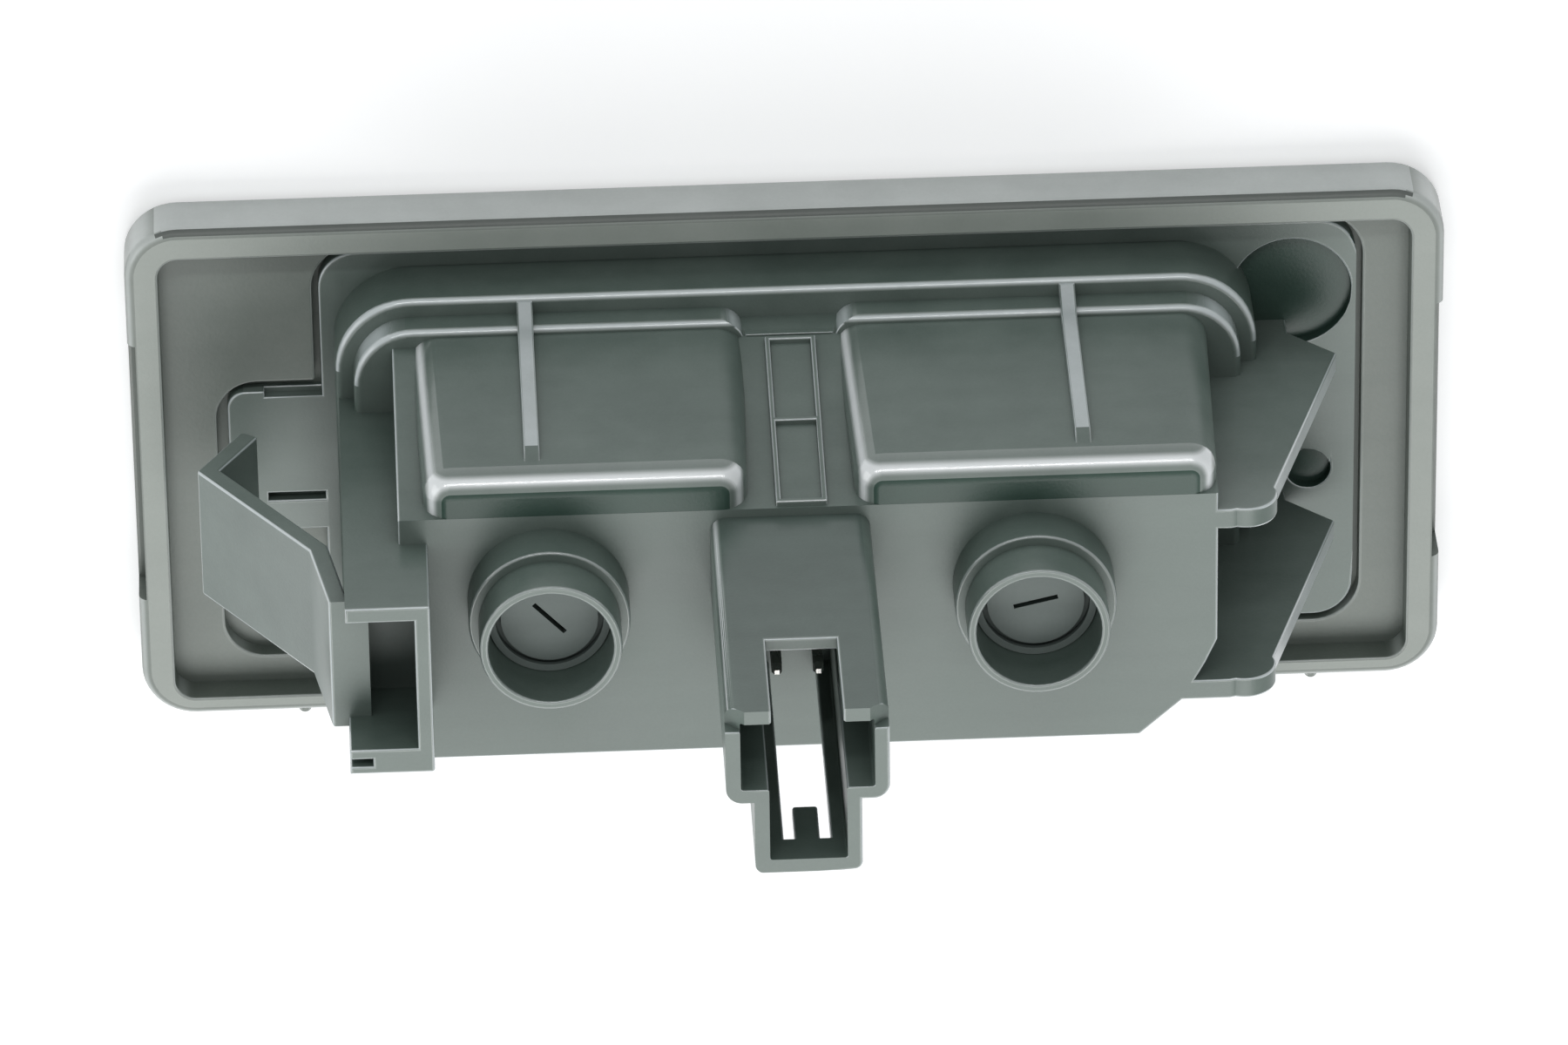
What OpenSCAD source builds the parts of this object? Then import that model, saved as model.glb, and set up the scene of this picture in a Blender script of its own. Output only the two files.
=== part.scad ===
// Number plate lamp for a car, seen from its back: a clear window in a shallow flange,
// a moulded housing with a connector hood, a snap tongue and two hooks.
// The lamp lies on its window. +Z points into the car, +X to the hooks.
// The origin is on the flange's front face, under the middle of the base plate.

/* [Flange] */
// Width of the flange, end to end
flange_w = 83; // [82:0.5:92]
// Depth of the flange across its short side
flange_d = 35.6; // [35:0.1:40]
// Height of the flange from its front face to the rim crest
flange_h = 4.3; // [4:0.1:6]
// Width of the rim crest
rim_w = 2.1; // [1.5:0.1:2.3]
// Width of the rim crest on the long side away from the pods
rim_plain_w = 1.3; // [1.1:0.1:2.3]
// Shift of the flange towards that side
flange_shift = 0.25; // [0:0.05:0.4]
// Depth of the tray inside the rim
tray_depth = 2; // [1.6:0.1:2.6]
// Outer corner radius of the flange
flange_r = 3.4; // [2.6:0.1:5]
// Rounding of the flange's outer edges
flange_soft = 0.7; // [0.3:0.1:0.9]
// Length of the shallow pry recess in each short side
pry_len = 18.6; // [10:0.2:22]
// Depth of the pry recess
pry_depth = 0.5; // [0.2:0.1:0.8]
// Size of the gate stubs on the long edge
stub_r = 0.45; // [0.3:0.05:0.6]

/* [Base plate] */
// Thickness of the housing's base plate
plate_t = 1.2; // [0.9:0.1:1.4]
// Flange end to base plate at the hook end
plate_hook_gap = 5.4; // [4.5:0.1:5.9]
// Flange end to base plate at the tongue end
plate_clip_gap = 12.1; // [11.5:0.1:12.5]
// Depth of the base plate
plate_d = 29; // [28.4:0.1:29.6]
// Corner radius of the base plate
plate_r = 2.5; // [1.5:0.1:3.5]
// Width of the groove between the plate and the frame
plate_groove = 0.4; // [0.2:0.05:0.6]
// Flange end to the pad under the tongue
pad_end_gap = 6.1; // [5.7:0.1:6.9]
// Upper side of the pad, across the flange
pad_top = 4.6; // [3.6:0.1:6]
// Lower side of the pad, across the flange
pad_low = 5.6; // [4.6:0.1:8]
// Corner radius of the pad
pad_r = 1.2; // [0.6:0.1:2]
// Width of the gap round the pad
pad_gap = 0.7; // [0.4:0.05:1]

/* [Collar] */
// How much shorter the collar is than the base plate
collar_less_w = 7.5; // [5.5:0.5:8.5]
// Base plate edge to collar on each long side
collar_gap = 1.1; // [0.7:0.05:1.3]
// Height of the collar above the tray
collar_h = 4.4; // [3.6:0.1:5.4]
// Corner radius of the collar
collar_r = 5; // [4:0.1:6]
// Shift of the housing towards the hook end
shift_x = 0.5; // [0:0.1:1]
// Width of the ledge on the collar
ledge_w = 1.15; // [0.8:0.05:1.3]
// Height of the step on the collar
step_h = 1.9; // [1.2:0.1:2.6]
// Rounding of the collar's edges
collar_soft = 0.45; // [0.2:0.05:0.6]

/* [Housing box] */
// Height of the box above the collar's step
box_h = 16.2; // [15:0.1:19]
// Collar end to box on the tongue side
box_clip_gap = 3.6; // [3.2:0.1:4]
// Collar end to box on the hook side
box_hook_gap = 3.8; // [3.2:0.1:4]
// Collar edge to the box's rear face on the valley side
face_front_gap = 5.2; // [5:0.05:5.4]
// Collar edge to the box's rear face on the plain side
face_back_gap = 4.3; // [3.8:0.1:4.6]
// How far the valley wall leans in over the box's height
valley_lean = 2.9; // [2.5:0.1:3.1]
// How far the plain wall leans in over the box's height
back_lean = 2.7; // [2:0.1:3]
// Wall thickness of the housing
wall = 1.6; // [1.2:0.1:1.8]
// Corner cut of the rear face at the hook end
corner_cut = 4.8; // [2:0.1:5.2]

/* [Pods] */
// How far the pods stand out of the wall at their foot
pod_out = 0.65; // [0.4:0.05:1]
// How far the pods lean in over the box's height
pod_lean = 0.85; // [0.6:0.05:1.5]
// How far the pods narrow at each end over the box's height
pod_taper = 0.5; // [0.2:0.1:0.7]
// Rounding of the pods
pod_r = 1.7; // [1:0.1:2]
// Half width of the valley between the pods
valley_half = 2.8; // [2.4:0.1:3.6]
// Thickness of the ribs on the pods
rib_t = 1; // [0.7:0.05:1.3]
// How far the ribs stand out of the pods
rib_out = 0.5; // [0.3:0.05:0.7]
// Distance of each rib from its end of the box
rib_end = 8.3; // [6.3:0.1:11.3]

/* [Vent tubes] */
// How much closer the two vent tubes stand than the ends of the box
tube_less = 20.6; // [19.6:0.5:22.6]
// Shift of the tubes and the hood towards the tongue
hood_shift = 0.75; // [0:0.05:1]
// Place of the tubes across the rear face
tube_y = 2.3; // [1:0.1:3]
// Outer radius of a tube
tube_r = 4.4; // [4.2:0.05:4.6]
// Wall thickness of a tube
tube_wall = 0.55; // [0.4:0.05:0.8]
// Height of a tube above the rear face
tube_h = 6; // [5:0.1:8]
// Radius of the base ring of a tube
ring_r = 5; // [4.8:0.05:5.2]
// Height of the base ring
ring_h = 2.9; // [2:0.1:3.6]
// Radius of the breathing hole under a vent plug
vent_hole_r = 2; // [1.4:0.1:2.4]

/* [Connector hood] */
// Outer width of the hood
hood_w = 9.9; // [9.6:0.1:10.4]
// Height of the hood above the rear face
hood_h = 22.8; // [20:0.2:26]
// Place of the hood's wide wall across the rear face
hood_front = 7.65; // [7.2:0.05:8]
// Depth of the hood's wide part
hood_wide_d = 6.45; // [6.25:0.05:7]
// Outer width of the hood's narrow part
hood_key_w = 6.5; // [6.2:0.1:7]
// Depth of the narrow part
hood_key_d = 5; // [4:0.1:5.2]
// Wall thickness of the hood
hood_wall = 0.9; // [0.8:0.05:1.1]
// Corner radius of the hood
hood_r = 1; // [0.6:0.05:1.2]
// Width of the notch in the wide wall
notch_w = 4.3; // [3.6:0.1:5]
// Depth of the notch from the mouth
notch_h = 8.3; // [5:0.1:10]
// Width of the slot in the narrow wall
slot_w = 2.85; // [2.4:0.05:3.2]
// Height of the bar that closes the slot at the mouth
bar_h = 2.4; // [2:0.1:4]
// Width of the latch tab that hangs from the bar
tab_w = 1.55; // [1.2:0.05:1.8]
// Length of the latch tab
tab_len = 3.6; // [2.5:0.1:5]

/* [Clip] */
// Length of the clip post across the flange
post_d = 11.9; // [11.6:0.1:13]
// Shift of the clip post across the flange
post_y = 0.55; // [0.3:0.05:0.8]
// Thickness of the clip post
post_t = 5.2; // [4.8:0.1:5.6]
// Height of the post above the rear face
post_h = 7.5; // [6.5:0.1:9]
// Wall thickness of the post
post_wall = 1.4; // [1.1:0.05:1.6]
// Width of the spring tongue
tongue_w = 9; // [8:0.1:9.2]
// Thickness of the spring tongue
tongue_t = 1.2; // [0.9:0.05:1.4]
// How far the tongue's crest lies under the post's rim
tongue_drop = 4; // [3:0.1:5]
// Reach of the tongue from the post
tongue_reach = 8.9; // [8:0.1:9.6]
// Height of the tongue's outer bend above the rim crest
tongue_bend_h = 7.6; // [6:0.1:9]
// Height of the tongue's free edge above the rim crest
tongue_tip_h = 2.7; // [2:0.1:4]

/* [Hooks] */
// Distance between the two hooks, middle to middle
hook_pitch = 12.3; // [11:0.1:14]
// Thickness of a hook
hook_t = 1.4; // [1.2:0.05:2]
// Reach of the hooks from the box
hook_reach = 8.9; // [8:0.1:9.3]
// Height of the hook tips above the rim crest
grip_h = 1.7; // [1.2:0.1:3]
// Length of the level top of a hook
hook_top = 2.8; // [2:0.1:3.4]

/* [Window] */
// Thickness of the window's seat in the frame
window_lip = 1.2; // [0.9:0.1:1.6]
// Thickness of the window's flange
lens_flange_t = 1; // [0.8:0.05:1.1]
// Clearance round the window
lens_gap = 0.15; // [0.1:0.05:0.25]
// Pitch of the flutes inside the window
flute_pitch = 3; // [2.5:0.25:5]
// Depth of the flutes
flute_depth = 0.3; // [0.15:0.05:0.4]

/* [Reflector] */
// How much closer the two bowls stand than the ends of the board
bowl_less = 18; // [17.6:0.2:19]
// Clearance between a bowl and the mouth's long sides
bowl_gap = 1.1; // [0.9:0.05:1.9]
// Radius of a bowl at the lamp
bowl_eye_r = 2.7; // [2.6:0.05:3]
// Wall thickness of the reflector
bowl_wall = 0.9; // [0.7:0.05:1]
// Thickness of the reflector's deck under the board
deck_t = 1.2; // [1:0.1:1.6]
// Radius of the reflector's locating pegs
peg_r = 0.9; // [0.7:0.05:1.1]
// Clearance of the pegs in the board
peg_gap = 0.12; // [0.05:0.01:0.2]

/* [Circuit board] */
// Clearance at each end of the circuit board
board_end_gap = 1.7; // [1.4:0.1:2.2]
// How much narrower the board is than the rear face over the valley
board_less_d = 2.2; // [1.8:0.1:3]
// Thickness of the circuit board
board_t = 1.6; // [1:0.1:1.6]
// Side of a light-emitting diode's base
led_side = 3.5; // [3:0.1:3.6]
// Height of a light-emitting diode's base
led_base_h = 0.6; // [0.5:0.05:0.8]
// Radius of its dome
led_dome_r = 1.2; // [0.9:0.05:1.3]

/* [Contacts] */
// Pitch of the two contact pins
pin_pitch = 2.54; // [2.5:0.01:2.6]
// Side of a contact pin
pin_side = 0.64; // [0.6:0.01:0.7]
// Reach of the pins into the hood
pin_reach = 9.2; // [8:0.1:12]
// Place of the pins across the rear face
pin_y = 2; // [1.7:0.1:2.3]
// Height of the header block between board and housing
header_h = 2.5; // [2.4:0.05:3]
// Depth of the header block
header_d = 2.5; // [2.3:0.05:2.6]

/* [Vent plugs] */
// Clearance of a plug in its tube
plug_gap = 0.05; // [0.03:0.01:0.1]
// Thickness of a plug
plug_t = 2; // [1.6:0.05:2.4]
// Depth of the ring groove in a plug
plug_step = 0.5; // [0.2:0.05:0.8]
// Radius of the middle of a plug, inside the groove
plug_mid_r = 3; // [2.6:0.05:3.1]
// Width of the ring groove
plug_groove = 0.35; // [0.2:0.05:0.45]
// Height of the plug's seat above the rear face
plug_seat = 0.4; // [0.2:0.1:1]
// Length of the breathing slit
slit_len = 2.8; // [2:0.1:3.6]
// Turn of the slit in the left and the right plug
slit_turns = [-47, 13];

/* [Hidden] */
$fn = 48;
eps = 0.01;
far = 200;

black_plastic = [0.20, 0.23, 0.22];
frame_plastic = [0.24, 0.27, 0.26];

// Levels, from the front face up
plate_hook_end = flange_w / 2 - plate_hook_gap;
plate_clip_end = flange_w / 2 - plate_clip_gap;
pad_end = flange_w / 2 - pad_end_gap;
collar_w = plate_hook_end + plate_clip_end - collar_less_w;
collar_d = plate_d - 2 * collar_gap;
box_clip_end = collar_w / 2 - box_clip_gap;
box_hook_end = collar_w / 2 - box_hook_gap;
face_front = collar_d / 2 - face_front_gap;
face_back = collar_d / 2 - face_back_gap;
rib_x = (box_clip_end + box_hook_end) / 2 - rib_end;
tube_pitch = box_clip_end + box_hook_end - tube_less;
board_w = box_clip_end + box_hook_end - 2 * (wall + board_end_gap);
board_d = 2 * face_front - board_less_d;
bowl_pitch = board_w - bowl_less;
tray_z = flange_h - tray_depth;
seat_z = tray_z - plate_t;
collar_z = tray_z + collar_h;
step_z = collar_z + step_h;
face_z = step_z + box_h;
roof_z = face_z - wall;
board_top_z = roof_z - header_h;
board_z = board_top_z - board_t;
lens_top_z = seat_z + lens_flange_t;
post_z = face_z + post_h;
crest_z = post_z - tongue_drop;
hood_z = face_z + hood_h;

// The mouth of the housing, closed by the window
mouth_w = collar_w - 2 * (wall + ledge_w / 2);
mouth_d = collar_d - 2 * (wall + ledge_w / 2);
mouth_r = collar_r - wall;
bowl_mouth_r = mouth_d / 2 - bowl_wall - bowl_gap;
lens_flange_w = mouth_w - 2 * lens_gap;
lens_flange_d = mouth_d - 2 * lens_gap;
window_w = mouth_w - 2 * (window_lip + lens_gap);
window_d = mouth_d - 2 * (window_lip + lens_gap);
window_r = mouth_r - window_lip / 2;

// Ends of the box and its pods along the flange
box_x0 = shift_x - box_clip_end;
box_x1 = shift_x + box_hook_end;
pod_side_gap = 1.1;
pod_spans = [[box_x0 + pod_side_gap, -valley_half], [valley_half, box_x1 + pod_taper]];

// Clip post and hooks
post_x1 = box_x0 + 1.8;
post_x0 = post_x1 - post_t;
finger_wall = 1.4;
finger_slit = 0.5;
hook_x1 = box_x1 + hook_reach;
hook_y = 0.15;
tongue_y = 0.15;
corner_inset = 0.75 * wall;
board_inset = corner_inset + 0.6;

function wall_y(foot, lean, z) = foot - lean * (z - step_z) / box_h;
function front_y(z) = wall_y(face_front + valley_lean, valley_lean, z);
function back_y(z) = -wall_y(face_back + back_lean, back_lean, z);
function pod_y(z) = wall_y(face_front + valley_lean + pod_out, pod_lean, z);

// Rectangle with round corners, centred
module round_rect(w, d, r) {
    square([w - 2 * r, d], center = true);
    square([w, d - 2 * r], center = true);
    for (x = [-1, 1], y = [-1, 1])
        translate([x * (w / 2 - r), y * (d / 2 - r)])
            circle(r);
}

// Section of a slab whose two upper edges are round
module soft_section(w, h, f) {
    translate([-w / 2 + f, 0])
        square([w - 2 * f, h]);
    translate([-w / 2, 0])
        square([w, h - f]);
    for (x = [-1, 1])
        translate([x * (w / 2 - f), h - f])
            circle(f);
}

// Slab with round corners and a round upper edge
module soft_slab(w, d, h, r, f) {
    for (x = [-1, 1], y = [-1, 1])
        translate([x * (w / 2 - r), y * (d / 2 - r), 0])
            rotate_extrude()
                intersection() {
                    soft_section(2 * r, h, f);
                    square([r, h]);
                }
    translate([-w / 2 + r, 0, 0])
        rotate([90, 0, 90])
            linear_extrude(w - 2 * r)
                soft_section(d, h, f);
    translate([0, d / 2 - r, 0])
        rotate([90, 0, 0])
            linear_extrude(d - 2 * r)
                soft_section(w, h, f);
}

// Flat strip of thickness t that follows a few points, with mitred bends
module strip(points, t) {
    last = len(points) - 1;
    ways = [for (i = [0 : last - 1]) (points[i + 1] - points[i]) / norm(points[i + 1] - points[i])];
    normals = [for (w = ways) [-w[1], w[0]]];
    function half_step(i) = let (
        a = normals[max(i - 1, 0)],
        b = normals[min(i, last - 1)],
        m = (a + b) / norm(a + b)
    ) m * t / 2 / (m * a);
    polygon(concat(
        [for (i = [0 : last]) points[i] + half_step(i)],
        [for (i = [last : -1 : 0]) points[i] - half_step(i)]));
}

// Extrudes a section drawn in X and Z along Y, centred on y
module across(y, t) {
    translate([0, y + t / 2, 0])
        rotate([90, 0, 0])
            linear_extrude(t)
                children();
}

// Extrudes a section drawn in Y and Z along X, from x0 to x1
module along(x0, x1) {
    translate([x0, 0, 0])
        rotate([90, 0, 90])
            linear_extrude(x1 - x0)
                children();
}

// Rectangle with round corners between two corner points
module round_span(x0, y0, x1, y1, r) {
    translate([(x0 + x1) / 2, (y0 + y1) / 2])
        round_rect(x1 - x0, y1 - y0, r);
}

// Outline of the base plate, with the pad under the tongue
module plate_outline() {
    round_span(-plate_clip_end, -plate_d / 2, plate_hook_end, plate_d / 2, plate_r);
    round_span(-pad_end, -pad_low, -plate_clip_end + 4, pad_top, pad_r);
}

// Recess in the frame: the plate's outline and the pocket that lets the tongue spring
module plate_recess() {
    g = plate_groove;
    round_span(-plate_clip_end - g, -plate_d / 2 - g, plate_hook_end + g, plate_d / 2 + g,
        plate_r + g);
    round_span(-pad_end - pad_gap, -plate_d / 2 - g, 0, pad_top + pad_gap, pad_r + 2 * pad_gap);
}

// Section of the box between its plain wall and its valley wall
module box_section(inset, foot_z, head_z) {
    polygon([
        [back_y(foot_z) + inset, foot_z], [front_y(foot_z) - inset, foot_z],
        [front_y(head_z) - inset, head_z], [back_y(head_z) + inset, head_z]]);
}

// Prism that takes the corner off the box at the hook end, moved inwards by inset
module corner_prism(inset) {
    c = corner_cut;
    run = 14;
    translate([box_x1 - c - inset, back_y(face_z) + inset, 0])
        linear_extrude(far)
            polygon([
                [-run, -0.91 * run], [0, 0], [0.57 * c, 0.52 * c], [0.85 * c, 1.06 * c],
                [c, 1.4 * c], [run, 1.4 * c], [run, -run]]);
}

// Box between its plain wall and its valley wall, with one corner cut off
module box_core() {
    difference() {
        along(box_x0, box_x1)
            box_section(0, collar_z - 1, face_z);
        translate([0, 0, step_z])
            corner_prism(0);
    }
}

// Notch in the collar's step where the valley runs down to the ledge, with round corners
module step_notch() {
    half = valley_half;
    edge_y = collar_d / 2 - ledge_w;
    translate([0, 0, collar_z])
        linear_extrude(step_h + 1) {
            translate([-half, front_y(collar_z) - 0.2])
                square([2 * half, collar_d]);
            for (side = [-1, 1])
                difference() {
                    translate([side * (half + pod_r / 2), edge_y])
                        square([pod_r, 2 * pod_r], center = true);
                    translate([side * (half + pod_r), edge_y - pod_r])
                        circle(pod_r);
                }
        }
}

// One pod: a soft-edged block that leans in and narrows towards the rear face
module pod(span) {
    r = pod_r;
    foot = step_z - r;
    mid = (span[0] + span[1]) / 2;
    half = (span[1] - span[0]) / 2 - r;
    hull()
        for (side = [-1, 1], level = [foot, face_z - r], deep = [0, 5])
            translate([mid + side * (half - (level > foot ? pod_taper : 0)),
                    pod_y(level) - r - deep, level])
                sphere(r, $fn = 28);
}

module pod_rib(x) {
    top = face_z - pod_r - 0.2;
    foot_y = collar_d / 2 - 0.3;
    along(x - rib_t / 2, x + rib_t / 2)
        polygon([
            [pod_y(step_z) - 2, collar_z - 1], [foot_y, collar_z - 1],
            [foot_y, collar_z + 0.2], [pod_y(step_z) + rib_out, step_z + 0.6],
            [pod_y(top - 1) + rib_out, top - 1], [pod_y(top), top],
            [pod_y(top) - 2, top]]);
}

// Framed panel with one crossbar in the valley between the pods
module valley_panel() {
    half = valley_half - 1.2;
    bar = 0.35;
    low = step_z + 0.4;
    mid = step_z + box_h * 0.5;
    top = face_z - 0.15;
    module slab(half_w, z0, z1, back, out) {
        along(-half_w, half_w)
            polygon([
                [front_y(z0) - back, z0], [front_y(z0) + out, z0],
                [front_y(z1) + out, z1], [front_y(z1) - back, z1]]);
    }
    difference() {
        slab(half, low, top, 0.6, bar);
        slab(half - bar, low + bar, mid, 0.3, 1);
        slab(half - bar, mid + bar, top - bar, 0.3, 1);
    }
}

module vent_tube(x) {
    translate([x, tube_y, face_z - wall / 2]) {
        cylinder(r = ring_r, h = wall / 2 + ring_h);
        cylinder(r = tube_r, h = wall / 2 + tube_h);
    }
}

// Outline of the hood in plan, grown inwards by inset
module hood_plan(inset) {
    w = hood_w - 2 * inset;
    d = hood_wide_d - 2 * inset;
    key_w = hood_key_w - 2 * inset;
    key_d = hood_key_d + hood_wide_d / 2;
    r = max(hood_r - inset, 0.15);
    translate([-hood_shift, hood_front - hood_wide_d / 2])
        round_rect(w, d, r);
    translate([-hood_shift, hood_front - hood_wide_d - hood_key_d + inset + key_d / 2])
        round_rect(key_w, key_d, min(r, 0.5));
}

module hood() {
    translate([0, 0, face_z - wall / 2])
        linear_extrude(hood_h + wall / 2)
            hood_plan(0);
}

module hood_cuts() {
    mouth_cut = 1.1;
    key_back = hood_front - hood_wide_d - hood_key_d;
    translate([0, 0, face_z])
        linear_extrude(hood_h + 1)
            hood_plan(hood_wall);
    translate([-hood_shift - notch_w / 2, hood_front - hood_wall - 1, hood_z - notch_h])
        cube([notch_w, hood_wall + 2, notch_h + 1]);
    difference() {
        translate([-hood_shift - slot_w / 2, key_back - 1, face_z])
            cube([slot_w, hood_wall + 2, hood_h - bar_h]);
        translate([-hood_shift - tab_w / 2, key_back - 1, hood_z - bar_h - tab_len])
            cube([tab_w, hood_wall + 2, tab_len + 1]);
    }
    for (side = [-1, 1])
        translate([side * hood_w / 2 - hood_shift, hood_front, hood_z])
            rotate([0, 45, 0])
                cube([mouth_cut * 1.5, 2 * hood_wall + 1, mouth_cut * 1.5], center = true);
}

module clip_post() {
    translate([post_x0, post_y - post_d / 2, seat_z])
        cube([post_t, post_d, post_z - seat_z]);
}

// The hollow of the post, open to the tongue's crest, and the slits beside the tongue
module clip_post_cuts() {
    inner_x = post_x0 + finger_wall;
    inner_y = post_y + 0.35 - post_d / 2 + post_wall;
    floor_z = face_z + 0.3;
    slit_z = face_z - 6;
    translate([inner_x, inner_y, floor_z])
        cube([post_t - finger_wall - 1, post_d - 2 * post_wall, far]);
    translate([post_x0 - 1, inner_y, crest_z])
        cube([finger_wall + 2, post_d - 2 * post_wall, far]);
    for (side = [-1, 1])
        translate([post_x0 - 1, tongue_y + side * (tongue_w + finger_slit) / 2 - finger_slit / 2, slit_z])
            cube([finger_wall + 1, finger_slit, far]);
}

// Spring tongue, folded over from the post's outer wall
module tongue() {
    half = tongue_t / 2;
    root = post_x0 + half;
    bend_x = post_x0 - tongue_reach + half;
    bend_z = flange_h + tongue_bend_h;
    knee_x = post_x0 - 0.24 * tongue_reach + half;
    knee_z = bend_z + 0.6 * (crest_z - bend_z);
    tip_z = flange_h + tongue_tip_h + half;
    across(tongue_y, tongue_w)
        strip([[root + 0.2, crest_z - half - 6], [root + 0.2, crest_z - half],
            [root - 1.1, crest_z - half], [knee_x, knee_z], [bend_x, bend_z],
            [bend_x + 2.6, tip_z]], tongue_t);
}

// Hook that reaches behind the car's panel
module hook(y) {
    tip_z = flange_h + grip_h;
    top_z = face_z;
    top_x = box_x1 + hook_top;
    bend_r = 2;
    across(y, hook_t) {
        polygon([
            [box_x1 - 2.6, seat_z], [box_x1 - 2.6, top_z], [top_x - bend_r, top_z],
            [top_x, top_z - 0.6], [top_x + 0.75, top_z - 2], [hook_x1 - 0.2, tip_z + 0.6],
            [hook_x1, tip_z], [hook_x1 - 2.9, tray_z + 0.9], [hook_x1 - 2.9, seat_z]]);
        translate([top_x - bend_r / 2, top_z - bend_r])
            circle(bend_r);
    }
}

// Base plate with its round recesses and the two slits in the pad
module base_plate() {
    mark_depth = 0.7;
    difference() {
        translate([0, 0, seat_z])
            linear_extrude(plate_t)
                plate_outline();
        translate([plate_hook_end - 4.1, plate_d / 2 - 5.1, tray_z - mark_depth])
            cylinder(r = 3.8, h = plate_t);
        translate([plate_hook_end - 2.9, -3.6, tray_z - mark_depth])
            cylinder(r = 1.4, h = plate_t);
        for (y = [4.2, -3.4])
            translate([-plate_clip_end - 3.6, y, tray_z - mark_depth])
                cube([3.6, 0.5, plate_t]);
    }
}

module housing_hollow() {
    translate([shift_x, 0, seat_z - 1])
        linear_extrude(collar_z - seat_z + 1)
            round_rect(mouth_w, mouth_d, mouth_r);
    difference() {
        along(box_x0 + wall, box_x1 - wall)
            box_section(wall, collar_z - 1, roof_z);
        corner_prism(corner_inset);
    }
    for (span = pod_spans)
        along(span[0] + wall, span[1] - wall - pod_taper)
            polygon([
                [0, collar_z - 1], [pod_y(collar_z - 1) - wall, collar_z - 1],
                [pod_y(roof_z - 2) - wall, roof_z - 2],
                [pod_y(roof_z) - wall - 1.6, roof_z], [0, roof_z]]);
}

module tube_bores() {
    for (side = [-1, 1])
        translate([side * tube_pitch / 2 - hood_shift, tube_y, 0]) {
            translate([0, 0, face_z + plug_seat])
                cylinder(r = tube_r - tube_wall, h = far);
            translate([0, 0, roof_z - 1])
                cylinder(r = vent_hole_r, h = far / 4);
        }
}

module pin_holes(side_len, z0, h) {
    for (side = [-1, 1])
        translate([side * pin_pitch / 2 - hood_shift, pin_y, z0 + h / 2])
            cube([side_len, side_len, h], center = true);
}

module rear_housing() {
    color(black_plastic)
    difference() {
        union() {
            base_plate();
            translate([shift_x, 0, seat_z])
                soft_slab(collar_w, collar_d, collar_z - seat_z, collar_r, collar_soft);
            difference() {
                translate([shift_x, 0, seat_z])
                    soft_slab(collar_w - 2 * ledge_w, collar_d - 2 * ledge_w, step_z - seat_z,
                        collar_r - ledge_w, collar_soft);
                step_notch();
            }
            box_core();
            for (span = pod_spans)
                pod(span);
            for (side = [-1, 1])
                pod_rib(shift_x + side * rib_x);
            valley_panel();
            for (side = [-1, 1])
                vent_tube(side * tube_pitch / 2 - hood_shift);
            hood();
            clip_post();
            for (side = [-1, 1])
                hook(hook_y + side * hook_pitch / 2);
        }
        housing_hollow();
        tube_bores();
        hood_cuts();
        clip_post_cuts();
        pin_holes(pin_side + 0.1, roof_z - 1, wall + 2);
    }
    color(black_plastic)
        tongue();
}

// Flange slab with its outer edges round on both faces
module flange_slab() {
    for (side = [0, 1])
        translate([0, -flange_shift, flange_h / 2])
            mirror([0, 0, side])
                soft_slab(flange_w, flange_d, flange_h / 2, flange_r, flange_soft);
}

module cover_frame() {
    inner_x = flange_w / 2 - rim_w;
    plain_y = -flange_shift - flange_d / 2;
    color(frame_plastic)
    difference() {
        union() {
            flange_slab();
            for (x = [10.3 - flange_w / 2, flange_w / 2 - 8.1])
                translate([x, plain_y, flange_h - 0.9])
                    sphere(stub_r);
        }
        translate([0, 0, tray_z])
            linear_extrude(flange_h)
                round_span(-inner_x, plain_y + rim_plain_w, inner_x, plain_y + flange_d - rim_w,
                    flange_r - rim_w);
        translate([0, 0, seat_z])
            linear_extrude(flange_h)
                plate_recess();
        translate([shift_x, 0, -1])
            linear_extrude(flange_h)
                round_rect(window_w, window_d, window_r);
        for (side = [-1, 1])
            translate([side * flange_w / 2, 0, flange_h / 2 + 0.6])
                cube([2 * pry_depth, pry_len, flange_h - 1.2], center = true);
    }
}

module window_lens() {
    flutes = floor((window_w - 4) / flute_pitch);
    flute_r = flute_pitch * flute_pitch / (8 * flute_depth) + flute_depth / 2;
    color([0.85, 0.90, 0.95, 0.5])
    difference() {
        union() {
            translate([shift_x, 0, seat_z])
                linear_extrude(lens_flange_t)
                    round_rect(lens_flange_w, lens_flange_d, mouth_r - lens_gap);
            translate([shift_x, 0, 0])
                linear_extrude(seat_z + lens_flange_t / 2)
                    round_rect(window_w - 2 * lens_gap, window_d - 2 * lens_gap, window_r - lens_gap);
        }
        for (i = [0 : flutes - 1])
            translate([shift_x + (i - (flutes - 1) / 2) * flute_pitch, 0,
                    lens_top_z + flute_r - flute_depth])
                rotate([90, 0, 0])
                    cylinder(r = flute_r, h = window_d - 4, center = true, $fn = 96);
    }
}

// Bowl section: a parabola from the lamp down to the mouth
function bowl_r(z) = bowl_eye_r
    + (bowl_mouth_r - bowl_eye_r) * sqrt(max(0, (board_z - z) / (board_z - lens_top_z)));

module bowl_shell(grow, z0, z1) {
    steps = 12;
    heights = [for (i = [0 : steps]) z1 + (z0 - z1) * pow(i / steps, 2)];
    rotate_extrude()
        polygon(concat([[0, z1]], [for (z = heights) [bowl_r(z) + grow, z]], [[0, z0]]));
}

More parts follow.
